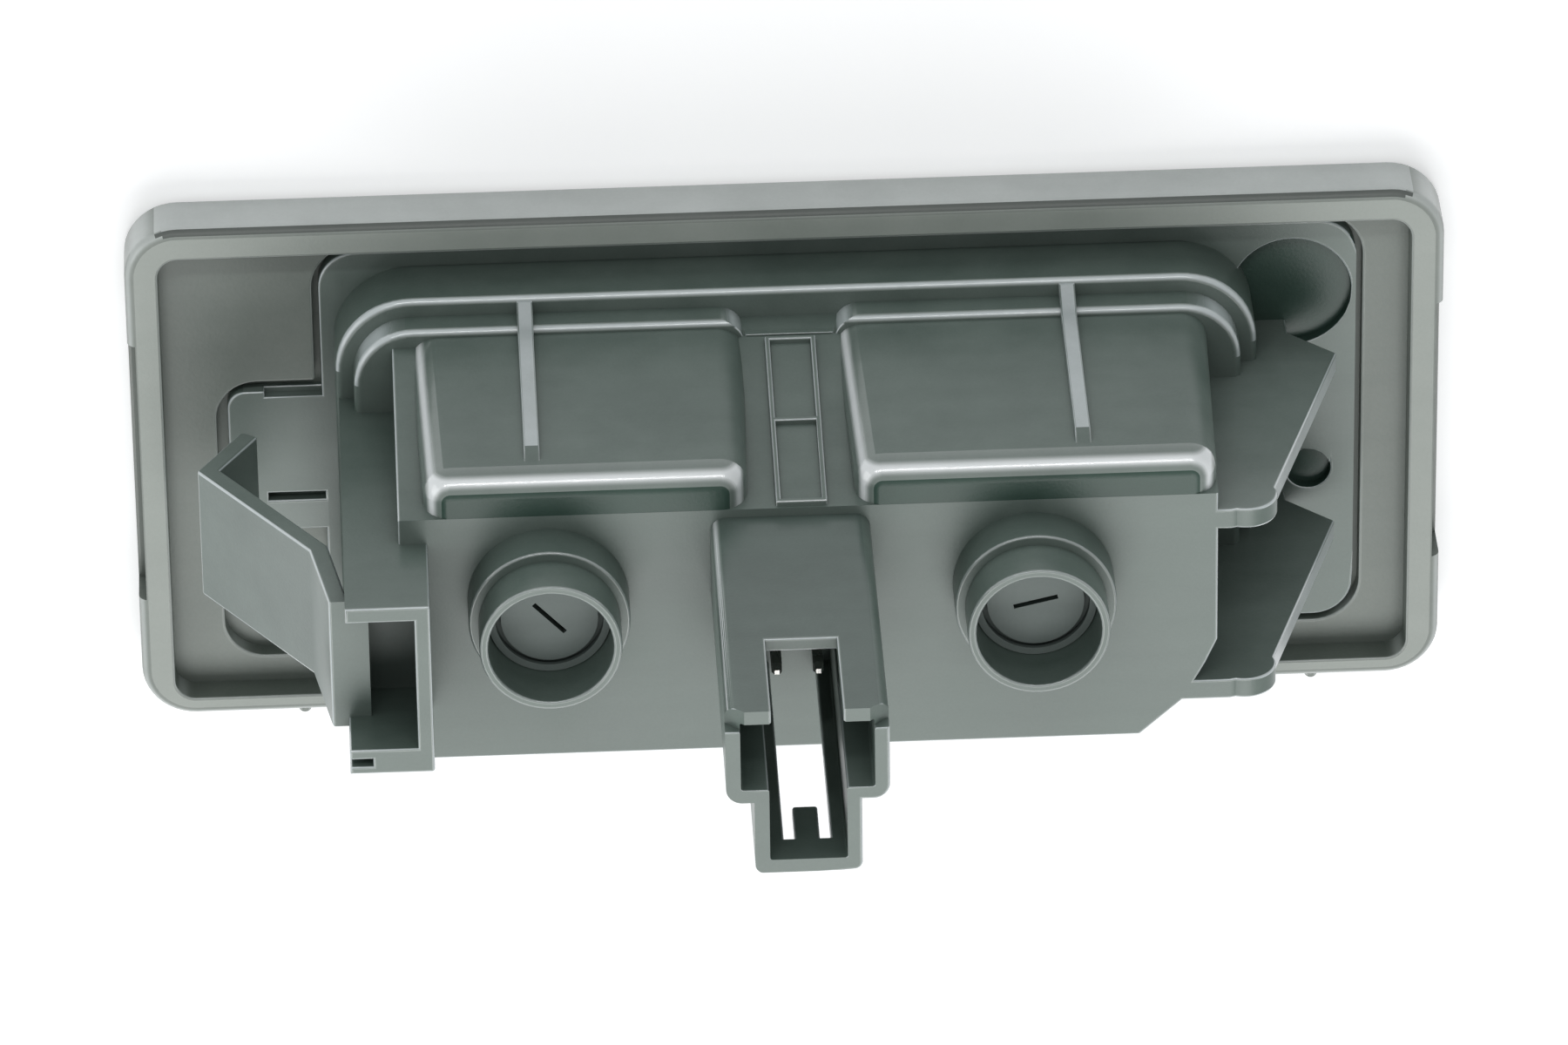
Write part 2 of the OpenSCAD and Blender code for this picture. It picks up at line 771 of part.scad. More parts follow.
module reflector() {
    rim_t = 1;
    rim_clear = 0.3;
    deck_w = board_w - 2;
    deck_d = board_d - 1.4;
    color([0.88, 0.88, 0.86])
    difference() {
        union() {
            translate([shift_x, 0, lens_top_z])
                linear_extrude(rim_t)
                    round_rect(mouth_w - 2 * rim_clear, mouth_d - 2 * rim_clear, mouth_r - rim_clear);
            translate([shift_x, 0, board_z - deck_t])
                linear_extrude(deck_t)
                    square([deck_w, deck_d], center = true);
            for (side = [-1, 1])
                translate([shift_x + side * bowl_pitch / 2, 0, 0])
                    bowl_shell(bowl_wall, lens_top_z, board_z);
            for (side = [-1, 1])
                translate([shift_x + side * peg_x(), 0, board_z - deck_t / 2])
                    cylinder(r = peg_r, h = deck_t / 2 + board_t + 0.5);
        }
        for (side = [-1, 1])
            translate([shift_x + side * bowl_pitch / 2, 0, 0])
                bowl_shell(0, lens_top_z - eps, board_z + eps);
        translate([-hood_shift, pin_y, board_z])
            cube([pin_pitch + 3, 3, 2 * deck_t + 1], center = true);
        translate([0, 0, board_z - deck_t - eps])
            corner_prism(board_inset);
    }
}

function peg_x() = board_w / 2 - 2.4;

module circuit_board() {
    color([0.10, 0.36, 0.20])
    difference() {
        translate([shift_x, 0, board_z + board_t / 2])
            cube([board_w, board_d, board_t], center = true);
        for (side = [-1, 1]) {
            translate([shift_x + side * peg_x(), 0, board_z - 1])
                cylinder(r = peg_r + peg_gap, h = board_t + 2);
            translate([side * pin_pitch / 2 - hood_shift, pin_y, board_z - 1])
                cylinder(r = pin_side * 0.75, h = board_t + 2);
        }
        corner_prism(board_inset);
    }
}

module light_diode(side) {
    color([0.95, 0.90, 0.55])
    translate([shift_x + side * bowl_pitch / 2, 0, board_z - led_base_h]) {
        translate([0, 0, led_base_h / 2])
            cube([led_side, led_side, led_base_h], center = true);
        intersection() {
            sphere(led_dome_r);
            translate([0, 0, -led_dome_r / 2])
                cube([3 * led_dome_r, 3 * led_dome_r, led_dome_r + eps], center = true);
        }
    }
}

module vent_plug(side) {
    turn = slit_turns[side < 0 ? 0 : 1];
    color([0.16, 0.18, 0.18])
    translate([side * tube_pitch / 2 - hood_shift, tube_y, face_z + plug_seat])
        difference() {
            cylinder(r = tube_r - tube_wall - plug_gap, h = plug_t);
            translate([0, 0, plug_t - plug_step])
                difference() {
                    cylinder(r = plug_mid_r + plug_groove, h = plug_t);
                    cylinder(r = plug_mid_r, h = plug_t);
                }
            translate([0, 0, plug_t])
                rotate(turn)
                    cube([slit_len, 0.3, plug_t], center = true);
        }
}

module pin_header_block() {
    color([0.12, 0.12, 0.13])
    difference() {
        translate([-hood_shift, pin_y, board_top_z + header_h / 2])
            cube([2 * pin_pitch, header_d, header_h], center = true);
        pin_holes(pin_side, board_top_z - 1, header_h + 2);
    }
}

module contact_pin(side) {
    tail = 0.8;
    tip = 0.6;
    z0 = board_z - tail;
    z1 = face_z + pin_reach;
    color([0.80, 0.78, 0.70])
    translate([side * pin_pitch / 2 - hood_shift, pin_y, 0]) {
        translate([0, 0, (z0 + z1 - tip) / 2])
            cube([pin_side, pin_side, z1 - tip - z0], center = true);
        translate([0, 0, z1 - tip])
            rotate(45)
                cylinder(r1 = pin_side / sqrt(2), r2 = pin_side / 3, h = tip, $fn = 4);
    }
}

// Surface-mounted part on the board's upper side: its place as a share of the half board
module chip(place, size, tone) {
    color(tone)
    translate([shift_x + place[0] * board_w / 2, place[1] * board_d / 2,
            board_top_z + size[2] / 2])
        cube(size, center = true);
}

chip_size = [3.2, 1.6, 0.6];
row_y = 0.62;
other_row_y = -0.5;
resistor_places = [-0.68, -0.41, 0.41, 0.68];
module resistor(i) {
    chip([resistor_places[i - 1], row_y], chip_size, [0.15, 0.15, 0.16]);
}
module rectifier_diode() {
    chip([-0.41, other_row_y], [4.3, 2.6, 1.9], [0.13, 0.13, 0.14]);
}
module surge_suppressor() {
    chip([-0.73, other_row_y], [4.6, 3.4, 1.9], [0.14, 0.14, 0.15]);
}
module capacitor(i) {
    chip([i == 1 ? 0.41 : 0.64, other_row_y], [2, 1.25, 1.1], [0.62, 0.52, 0.38]);
}

rear_housing();
cover_frame();
window_lens();
reflector();
circuit_board();
light_diode(-1);  // light_diode_left
light_diode(1);  // light_diode_right
vent_plug(-1);  // vent_plug_left
vent_plug(1);  // vent_plug_right
pin_header_block();
contact_pin(-1);  // contact_pin_left
contact_pin(1);  // contact_pin_right
resistor(1);  // resistor_1
resistor(2);  // resistor_2
resistor(3);  // resistor_3
resistor(4);  // resistor_4
rectifier_diode();
surge_suppressor();
capacitor(1);  // capacitor_1
capacitor(2);  // capacitor_2
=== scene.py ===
import math

import bmesh
import bpy
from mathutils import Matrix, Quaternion, Vector
from mathutils.geometry import intersect_line_line_2d, intersect_point_line


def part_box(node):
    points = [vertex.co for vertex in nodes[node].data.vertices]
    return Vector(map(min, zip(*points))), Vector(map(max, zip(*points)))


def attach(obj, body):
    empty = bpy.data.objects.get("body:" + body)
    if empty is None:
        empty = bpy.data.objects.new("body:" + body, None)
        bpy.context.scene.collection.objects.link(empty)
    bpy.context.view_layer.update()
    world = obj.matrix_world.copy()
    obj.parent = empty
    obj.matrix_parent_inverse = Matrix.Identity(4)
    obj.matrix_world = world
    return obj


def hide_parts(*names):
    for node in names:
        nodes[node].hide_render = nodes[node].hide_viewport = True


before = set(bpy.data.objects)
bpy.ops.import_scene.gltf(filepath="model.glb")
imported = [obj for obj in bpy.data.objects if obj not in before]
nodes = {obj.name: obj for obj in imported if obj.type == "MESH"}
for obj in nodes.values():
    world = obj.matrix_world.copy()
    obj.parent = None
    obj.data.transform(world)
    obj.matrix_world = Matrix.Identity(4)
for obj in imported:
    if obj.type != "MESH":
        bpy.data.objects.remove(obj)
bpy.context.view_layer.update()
scene = bpy.context.scene
mm = 0.001
print("stage 1: frame loaded,", len(nodes), "nodes")


# camera, at the angle of the photograph
cameraSettings = {
    "location": (-24.94, 388.19, 660.70),  # mm, above the connector side
    "aim": (-0.64, -0.51, 12.0),           # mm, the point in the middle of the picture
    "roll": 174.985,                       # degrees, the lamp is seen with its connector down
    "lens": 276.5,                         # mm
    "sensor": 36,                          # mm wide
    "clip": (0.02, 20),                    # metres, nearest and farthest that is seen
}


def addCamera(settings):
    data = bpy.data.cameras.new("photoCamera")
    camera = bpy.data.objects.new("photoCamera", data)
    scene.collection.objects.link(camera)
    location = Vector(settings["location"]) * mm
    look = Vector(settings["aim"]) * mm - location
    roll = Quaternion((0, 0, 1), math.radians(settings["roll"]))
    camera.location = location
    camera.rotation_mode = "QUATERNION"
    camera.rotation_quaternion = look.to_track_quat("-Z", "Y") @ roll
    data.sensor_width = settings["sensor"]
    data.lens = settings["lens"]
    data.clip_start, data.clip_end = settings["clip"]
    scene.camera = camera


addCamera(cameraSettings)
print("stage 2: camera placed")


# light: pale surroundings, a wide lamp, a low slim one in front and a soft one at the side
lampSettings = {  # mm and watts
    "wideLamp": {"from": (10, -275, 445), "aim": (0, 0, 15), "size": (420, 340), "power": 1.6},
    "lowLamp": {"from": (-30, 410, 345), "aim": (0, 0, 15), "size": (460, 34), "power": 0.55},
    "sideLamp": {"from": (-470, 90, 190), "aim": (0, 0, 15), "size": (300, 300), "power": 0.40},
}
worldSettings = {"strength": 0.30, "colour": (0.97, 0.99, 1.0)}


def addLamp(name, settings):
    data = bpy.data.lights.new(name, "AREA")
    data.shape = "RECTANGLE"
    data.size = settings["size"][0] * mm
    data.size_y = settings["size"][1] * mm
    data.energy = settings["power"]
    lamp = bpy.data.objects.new(name, data)
    scene.collection.objects.link(lamp)
    lamp.location = Vector(settings["from"]) * mm
    look = (Vector(settings["aim"]) - Vector(settings["from"])) * mm
    lamp.rotation_mode = "QUATERNION"
    lamp.rotation_quaternion = look.to_track_quat("-Z", "Y")


def directRays(tree):
    # 1 for what the camera, a reflection or a clear piece shows
    path = tree.nodes.new("ShaderNodeLightPath")
    pair = tree.nodes.new("ShaderNodeMath")
    pair.operation = "MAXIMUM"
    tree.links.new(path.outputs["Is Camera Ray"], pair.inputs[0])
    tree.links.new(path.outputs["Is Glossy Ray"], pair.inputs[1])
    both = tree.nodes.new("ShaderNodeMath")
    both.operation = "MAXIMUM"
    tree.links.new(pair.outputs[0], both.inputs[0])
    tree.links.new(path.outputs["Is Transmission Ray"], both.inputs[1])
    return both.outputs[0]


def addWorld(settings):
    world = bpy.data.worlds.new("studio")
    scene.world = world
    world.use_nodes = True
    tree = world.node_tree
    tree.nodes.clear()
    light = tree.nodes.new("ShaderNodeBackground")
    light.inputs["Color"].default_value = (*settings["colour"], 1)
    light.inputs["Strength"].default_value = settings["strength"]
    white = tree.nodes.new("ShaderNodeBackground")
    white.inputs["Color"].default_value = (1, 1, 1, 1)
    mix = tree.nodes.new("ShaderNodeMixShader")
    out = tree.nodes.new("ShaderNodeOutputWorld")
    tree.links.new(directRays(tree), mix.inputs["Fac"])
    tree.links.new(light.outputs[0], mix.inputs[1])
    tree.links.new(white.outputs[0], mix.inputs[2])
    tree.links.new(mix.outputs[0], out.inputs["Surface"])


floorSettings = {
    "size": 4000,                  # mm
    "drop": 0.02,                  # mm below the lamp's face
    "colour": (0.86, 0.87, 0.88),
    "lift": 0.42,                  # own light, so that the floor is white but keeps its shadow
}


def addFloor(settings):
    place = (0, 0, -settings["drop"] * mm)
    bpy.ops.mesh.primitive_plane_add(size=settings["size"] * mm, location=place)
    floor = bpy.context.object
    floor.name = "floor"
    material = bpy.data.materials.new("paleFloor")
    material.use_nodes = True
    tree = material.node_tree
    tree.nodes.clear()
    matt = tree.nodes.new("ShaderNodeBsdfDiffuse")
    matt.inputs["Color"].default_value = (*settings["colour"], 1)
    lift = tree.nodes.new("ShaderNodeEmission")
    lift.inputs["Color"].default_value = (1, 1, 1, 1)
    strength = tree.nodes.new("ShaderNodeMath")
    strength.operation = "MULTIPLY"
    strength.inputs[1].default_value = settings["lift"]
    tree.links.new(directRays(tree), strength.inputs[0])
    tree.links.new(strength.outputs[0], lift.inputs["Strength"])
    both = tree.nodes.new("ShaderNodeAddShader")
    out = tree.nodes.new("ShaderNodeOutputMaterial")
    tree.links.new(matt.outputs[0], both.inputs[0])
    tree.links.new(lift.outputs[0], both.inputs[1])
    tree.links.new(both.outputs[0], out.inputs["Surface"])
    floor.data.materials.append(material)


for lampName, lampPlace in lampSettings.items():
    addLamp(lampName, lampPlace)
addWorld(worldSettings)
addFloor(floorSettings)
scene.view_settings.view_transform = "Standard"
print("stage 3: light and floor set")


def newGroup(name, inputs, outputs):
    group = bpy.data.node_groups.new(name, "ShaderNodeTree")
    for label, kind, value in inputs:
        socket = group.interface.new_socket(name=label, in_out="INPUT", socket_type=kind)
        if value is not None:
            socket.default_value = value
    for label, kind in outputs:
        group.interface.new_socket(name=label, in_out="OUTPUT", socket_type=kind)
    return group, group.nodes.new("NodeGroupInput"), group.nodes.new("NodeGroupOutput")


def mathNode(tree, operation, first, second=None, third=None):
    node = tree.nodes.new("ShaderNodeMath")
    node.operation = operation
    for place, value in enumerate((first, second, third)):
        if value is None:
            continue
        if isinstance(value, (int, float)):
            node.inputs[place].default_value = value
        else:
            tree.links.new(value, node.inputs[place])
    return node.outputs[0]


def noiseNode(tree, vector, scale, detail, roughness):
    node = tree.nodes.new("ShaderNodeTexNoise")
    tree.links.new(vector, node.inputs["Vector"])
    if isinstance(scale, (int, float)):
        node.inputs["Scale"].default_value = scale
    else:
        tree.links.new(scale, node.inputs["Scale"])
    node.inputs["Detail"].default_value = detail
    node.inputs["Roughness"].default_value = roughness
    return node.outputs["Fac"]


def stretched(tree, vector, factors):
    # coordinates drawn out along an axis, for streaks and draw marks
    node = tree.nodes.new("ShaderNodeVectorMath")
    node.operation = "MULTIPLY"
    node.inputs[1].default_value = factors
    tree.links.new(vector, node.inputs[0])
    return node.outputs[0]


def mixColour(tree, factor, first, second):
    node = tree.nodes.new("ShaderNodeMix")
    node.data_type = "RGBA"
    sockets = [socket for socket in node.inputs if socket.enabled]
    for socket, value in zip(sockets, (factor, first, second)):
        if isinstance(value, (int, float)):
            socket.default_value = value
        elif isinstance(value, tuple):
            socket.default_value = (*value, 1)
        else:
            tree.links.new(value, socket)
    return [socket for socket in node.outputs if socket.enabled][0]


mouldedSettings = {
    "cloudTone": 1.7,             # how strongly the soft clouds change the tone
    "streakTone": 0.6,            # the same for the flow streaks
    "grainTone": 0.4,             # and for the fine grain
    "toneLevel": -0.85,           # moves the three together towards shade
    "streakScale": 520,
    "streaks": (0.18, 1.0, 1.0),  # streaks run along the lamp
    "dustKeeps": 4,               # how near to level a face is that holds dust
    "dustPatches": 0.5,           # dust where the clouds are thin
    "dustDulls": 0.8,             # roughness that dust adds
}


def buildMouldedGroup(look):
    # soft clouds of tone, long flow streaks, fine mould grain and a veil of dust on what faces up
    group, given, result = newGroup("mouldedPlastic", [
        ("Vector", "NodeSocketVector", None),
        ("Normal", "NodeSocketVector", None),
        ("Colour", "NodeSocketColor", (0.1, 0.1, 0.1, 1)),
        ("Shade", "NodeSocketColor", (0.05, 0.05, 0.05, 1)),
        ("Dust", "NodeSocketColor", (0.5, 0.5, 0.5, 1)),
        ("Clouds", "NodeSocketFloat", 160.0),
        ("Grain", "NodeSocketFloat", 4200.0),
        ("Roughness", "NodeSocketFloat", 0.4),
        ("Spread", "NodeSocketFloat", 0.12),
        ("Veil", "NodeSocketFloat", 0.1),
    ], [("Colour", "NodeSocketColor"), ("Roughness", "NodeSocketFloat"), ("Height", "NodeSocketFloat")])
    vector = given.outputs["Vector"]
    clouds = noiseNode(group, vector, given.outputs["Clouds"], 3, 0.6)
    grain = noiseNode(group, vector, given.outputs["Grain"], 2, 0.5)
    streaks = noiseNode(group, stretched(group, vector, look["streaks"]), look["streakScale"], 2, 0.5)
    tone = mathNode(group, "MULTIPLY_ADD", clouds, look["cloudTone"], look["toneLevel"])
    tone = mathNode(group, "MULTIPLY_ADD", streaks, look["streakTone"], tone)
    tone = mathNode(group, "MULTIPLY_ADD", grain, look["grainTone"], tone)
    bare = mixColour(group, tone, given.outputs["Shade"], given.outputs["Colour"])
    split = group.nodes.new("ShaderNodeSeparateXYZ")
    group.links.new(given.outputs["Normal"], split.inputs[0])
    level = mathNode(group, "MAXIMUM", split.outputs["Z"], 0.0)
    upward = mathNode(group, "POWER", level, look["dustKeeps"])
    patches = mathNode(group, "ADD", clouds, look["dustPatches"])
    settled = mathNode(group, "MULTIPLY", upward, patches)
    veil = mathNode(group, "MULTIPLY", settled, given.outputs["Veil"])
    dusty = mixColour(group, veil, bare, given.outputs["Dust"])
    group.links.new(dusty, result.inputs["Colour"])
    swing = mathNode(group, "SUBTRACT", clouds, 0.5)
    rough = mathNode(group, "MULTIPLY_ADD", swing, given.outputs["Spread"], given.outputs["Roughness"])
    rough = mathNode(group, "MULTIPLY_ADD", veil, look["dustDulls"], rough)
    group.links.new(rough, result.inputs["Roughness"])
    group.links.new(grain, result.inputs["Height"])
    return group


def buildEdgeHighlightGroup():
    # painted highlight: mask of the rounded edges, from the slant of the surface, broken up by noise
    breakupScale = 900
    group, given, result = newGroup("edgeHighlight", [
        ("Vector", "NodeSocketVector", None),
        ("Normal", "NodeSocketVector", None),
        ("Start", "NodeSocketFloat", 0.02),
        ("Full", "NodeSocketFloat", 0.22),
        ("Breakup", "NodeSocketFloat", 0.3),
    ], [("Mask", "NodeSocketFloat")])
    split = group.nodes.new("ShaderNodeSeparateXYZ")
    group.links.new(given.outputs["Normal"], split.inputs[0])
    parts = [mathNode(group, "ABSOLUTE", split.outputs[axis]) for axis in "XYZ"]
    most = mathNode(group, "MAXIMUM", mathNode(group, "MAXIMUM", parts[0], parts[1]), parts[2])
    slant = mathNode(group, "SUBTRACT", 1.0, most)
    ramp = group.nodes.new("ShaderNodeMapRange")
    ramp.interpolation_type = "SMOOTHSTEP"
    group.links.new(slant, ramp.inputs["Value"])
    group.links.new(given.outputs["Start"], ramp.inputs["From Min"])
    group.links.new(given.outputs["Full"], ramp.inputs["From Max"])
    breakup = noiseNode(group, given.outputs["Vector"], breakupScale, 3, 0.6)
    loss = mathNode(group, "MULTIPLY", breakup, given.outputs["Breakup"])
    kept = mathNode(group, "SUBTRACT", 1.0, loss)
    mask = mathNode(group, "MULTIPLY", ramp.outputs["Result"], kept)
    group.links.new(mask, result.inputs["Mask"])
    return group


def buildPaintedCornerShadeGroup():
    # painted shade: corners and narrow gaps turn darker, from how open the surface is around a point
    closed, clear = 0.25, 0.92
    group, given, result = newGroup("paintedCornerShade", [
        ("Colour", "NodeSocketColor", (0.1, 0.1, 0.1, 1)),
        ("ShadeColour", "NodeSocketColor", (0.012, 0.022, 0.017, 1)),
        ("Openness", "NodeSocketFloat", 1.0),
        ("Share", "NodeSocketFloat", 0.5),
    ], [("Colour", "NodeSocketColor")])
    ramp = group.nodes.new("ShaderNodeMapRange")
    ramp.inputs["From Min"].default_value = closed
    ramp.inputs["From Max"].default_value = clear
    least = mathNode(group, "SUBTRACT", 1.0, given.outputs["Share"])
    group.links.new(least, ramp.inputs["To Min"])
    group.links.new(given.outputs["Openness"], ramp.inputs["Value"])
    cornerShaded = mixColour(group, ramp.outputs["Result"], given.outputs["ShadeColour"], given.outputs["Colour"])
    group.links.new(cornerShaded, result.inputs["Colour"])
    return group


mouldedGroup = buildMouldedGroup(mouldedSettings)
edgeHighlightGroup = buildEdgeHighlightGroup()
paintedCornerShadeGroup = buildPaintedCornerShadeGroup()


def newMaterial(name):
    material = bpy.data.materials.new(name)
    material.use_nodes = True
    tree = material.node_tree
    shader = tree.nodes["Principled BSDF"]
    place = tree.nodes.new("ShaderNodeTexCoord")
    return material, tree, shader, place


def useGroup(tree, group, links):
    node = tree.nodes.new("ShaderNodeGroup")
    node.node_tree = group
    for label, output in links.items():
        tree.links.new(output, node.inputs[label])
    return node


def addBump(tree, shader, height, depth):
    bump = tree.nodes.new("ShaderNodeBump")
    bump.inputs["Strength"].default_value = 1.0
    bump.inputs["Distance"].default_value = depth * mm
    tree.links.new(height, bump.inputs["Height"])
    tree.links.new(bump.outputs["Normal"], shader.inputs["Normal"])


def plasticMaterial(name, settings):
    material, tree, shader, place = newMaterial(name)
    seen = {"Vector": place.outputs["Object"], "Normal": place.outputs["Normal"]}
    moulded = useGroup(tree, mouldedGroup, seen)
    for label in ("colour", "shade", "dust"):
        moulded.inputs[label.capitalize()].default_value = (*settings[label], 1)
    for label in ("clouds", "grain", "roughness", "spread", "veil"):
        moulded.inputs[label.capitalize()].default_value = settings[label]
    colour, roughness = moulded.outputs["Colour"], moulded.outputs["Roughness"]
    if "highlightColour" in settings:  # painted highlight and a smoother edge on the rounded parts
        highlight = useGroup(tree, edgeHighlightGroup, seen)
        for label in ("start", "full", "breakup"):
            highlight.inputs[label.capitalize()].default_value = settings[label]
        mask = highlight.outputs["Mask"]
        colour = mixColour(tree, mask, colour, settings["highlightColour"])
        roughness = mathNode(tree, "MULTIPLY_ADD", mask, -settings["polish"], roughness)
    # painted shade: darker colour in corners and narrow gaps, from ambient occlusion
    around = tree.nodes.new("ShaderNodeAmbientOcclusion")
    around.only_local = True
    around.samples = settings["cornerShadeSamples"]
    around.inputs["Distance"].default_value = settings["cornerShadeReach"] * mm
    cornerShade = useGroup(tree, paintedCornerShadeGroup, {"Colour": colour, "Openness": around.outputs["AO"]})
    cornerShade.inputs["Share"].default_value = settings["cornerShade"]
    tree.links.new(cornerShade.outputs["Colour"], shader.inputs["Base Color"])
    tree.links.new(roughness, shader.inputs["Roughness"])
    shader.inputs["IOR"].default_value = settings["bend"]
    shader.inputs["Specular IOR Level"].default_value = settings["gloss"]
    shader.inputs["Coat Weight"].default_value = settings["coat"]
    shader.inputs["Coat Roughness"].default_value = settings["coatRoughness"]
    addBump(tree, shader, moulded.outputs["Height"], settings["depth"])
    return material


# what a moulding has everywhere; its other finishes change some of the values
housingPlastic = {
    "colour": (0.146, 0.190, 0.169), "shade": (0.094, 0.132, 0.115), "dust": (0.38, 0.41, 0.39),
    "clouds": 190, "grain": 5200,                 # scale of the noise
    "roughness": 0.32, "spread": 0.16,            # and how far it changes
    "veil": 0.12,                                 # dust on what faces up
    "depth": 0.008,                               # mm, of the grain
    "gloss": 0.5, "coat": 0.0, "coatRoughness": 0.12,
    "bend": 1.5,                                  # index of refraction
    "cornerShade": 0.5, "cornerShadeReach": 6.0, "cornerShadeSamples": 8,  # painted shade in corners and gaps, reach in mm
}
# the edge finish paints a highlight on the roundings: a light colour where the surface turns
housingEdge = dict(housingPlastic, highlightColour=(0.66, 0.73, 0.74), start=0.0, full=0.20, breakup=0.25,
                   polish=0.14, gloss=0.9, coat=0.7)
housingFinishes = {
    "plastic": housingPlastic,
    "edge": housingEdge,
    # painted highlight, near white, on the far and left edges of the pods and the hood
    "glint": dict(housingEdge, highlightColour=(0.90, 0.94, 0.95), start=0.10, full=0.27, breakup=0.10),
    # painted highlight: a light colour on the ribs and the hooks' inclines
    "rib": dict(housingPlastic, colour=(0.520, 0.575, 0.580), shade=(0.400, 0.450, 0.450),
                gloss=0.8, coat=0.4),
    # lighter copy of the plastic: painted light on the hooks' walls, the snap tongue and its pad
    "lit": dict(housingPlastic, colour=(0.205, 0.250, 0.230), shade=(0.150, 0.190, 0.172)),
    # darker copy of the plastic: painted shade on the pods' flat tops and in the round recesses
    "paintedDark": dict(housingPlastic, colour=(0.048, 0.090, 0.072), shade=(0.032, 0.064, 0.050),
                 veil=0.0, gloss=0.3),
    # dim painted highlight on the vent tubes' roundings
    "soft": dict(housingEdge, highlightColour=(0.300, 0.345, 0.335)),
    # darker copy of the plastic: painted shade on the face of the hood
    "shade": dict(housingPlastic, colour=(0.116, 0.156, 0.139), shade=(0.075, 0.107, 0.094),
                  veil=0.10),
}
# the frame's corners get the same painted shade, over a shorter reach
framePlastic = dict(housingPlastic, colour=(0.205, 0.232, 0.208), shade=(0.140, 0.168, 0.148),
                    dust=(0.42, 0.44, 0.42), clouds=160, grain=4200, roughness=0.40, spread=0.14,
                    veil=0.10, depth=0.014, cornerShade=0.4, cornerShadeReach=3.0)
frameFinishes = {
    "plastic": framePlastic,
    # painted highlight on the frame's roundings
    "edge": dict(framePlastic, highlightColour=(0.50, 0.54, 0.52), start=0.0, full=0.24, breakup=0.25,
                 polish=0.10, gloss=0.7, coat=0.3),
    # lighter copy of the plastic: painted light on the long outer wall
    "litSkirt": dict(framePlastic, colour=(0.620, 0.655, 0.640), shade=(0.500, 0.535, 0.520)),
    # darker copy of the plastic: painted dark reflection on the slope above the long outer wall
    "paintedDark": dict(framePlastic, colour=(0.110, 0.125, 0.115), shade=(0.080, 0.094, 0.086), veil=0.0),
    # lighter copy of the plastic: painted light on the top of the rim
    "crest": dict(framePlastic, colour=(0.372, 0.407, 0.375), shade=(0.290, 0.325, 0.295)),
}

# a zone: its lowest and highest corner in mm, its finish, and the least and greatest slant of its faces
# a face that looks along an axis has a slant of 1; a later zone wins over an earlier one
rearHousing = {
    "piece": "rearHousing", "slot": "housing_plastic",
    "finishes": housingFinishes, "prefix": "housing",  # of the materials' names
    "edge": 0.16,                           # mm, rounding of the outer edges
    "flatOnly": ("rib", "lit", "shade"),   # finishes that never go on a rounding
    "edgeOnly": ("soft",),                  # finish that goes on roundings alone
    "zones": [
        ((-24.4, 8, 22.7), (26.8, 12.2, 24.78), "glint", 0.50, 0.995),      # painted highlight on the far edges of the pods
        ((-24.4, 8.5, 10.5), (-21.9, 12, 22.7), "glint", 0.50, 0.97),       # painted highlight, left edge, left pod
        ((2.4, 8.5, 10.5), (4.7, 12, 22.7), "glint", 0.50, 0.97),           # painted highlight, left edge, right pod
        ((-6.0, 6.2, 29), (-4.4, 8.0, 39.4), "glint", 0.50, 0.995),         # painted highlight on the left edge of the hood
        ((-28.6, 11.2, 6.2), (-3.0, 13.6, 8.7), "edge", 0.50, 0.995),     # painted highlight on the step of the collar
        ((3.0, 11.2, 6.2), (29.6, 13.6, 8.7), "edge", 0.50, 0.995),
        ((-3.0, 12.7, 6.2), (3.0, 13.6, 6.9), "edge", 0.50, 0.995),
        ((-28.6, 8.4, 6.2), (-25.4, 13.6, 8.7), "edge", 0.50, 0.995),
        ((25.4, 8.4, 6.2), (29.6, 13.6, 8.7), "edge", 0.50, 0.995),
        ((-24.4, 7.6, 24.7), (26.8, 9.95, 24.9), "paintedDark", 0.50, 1.01),     # painted shade on the flat tops of the pods
        ((-17.1, 8, 6.6), (-15.9, 13.6, 24.9), "rib", 0.90, 1.01),        # painted highlight on the ribs of the pods
        ((16.9, 8, 6.6), (18.1, 13.6, 24.9), "rib", 0.90, 1.01),
        ((28.4, -8, 5.5), (35.2, 7.5, 22.4), "rib", 0.93, 0.97),          # painted highlight on the hooks' inclines
        ((25.7, 6.9, 1.6), (34.7, 7.1, 24.8), "lit", 0.99, 1.01),        # painted light on the hooks' walls
        ((25.7, -5.4, 1.6), (34.7, -5.2, 24.8), "lit", 0.99, 1.01),
        ((-5.3, 7.5, 24.7), (3.8, 7.8, 47.7), "shade", 0.93, 1.01),       # painted shade on the face of the hood
        ((-37.5, -4.5, 5.0), (-28.7, 4.8, 28.5), "lit", 0.50, 1.01),     # painted light on the snap tongue
        ((-36.0, -6.0, 1.5), (-29.0, 5.0, 3.5), "lit", 0.98, 1.01),      # painted light on the pad under it
        ((28.0, 5.4, 0.9), (36.0, 13.4, 2.25), "paintedDark", 0.50, 1.01),       # painted shade in the round recesses
        ((31.6, -5.2, 0.9), (34.8, -2.0, 2.25), "paintedDark", 0.50, 1.01),
        ((-21.0, -3.0, 23.3), (-10.5, 7.6, 31.0), "soft", 0.50, 0.995),   # dim painted highlight on the vent tubes
        ((9.0, -3.0, 23.3), (19.5, 7.6, 31.0), "soft", 0.50, 0.995),
    ],
}
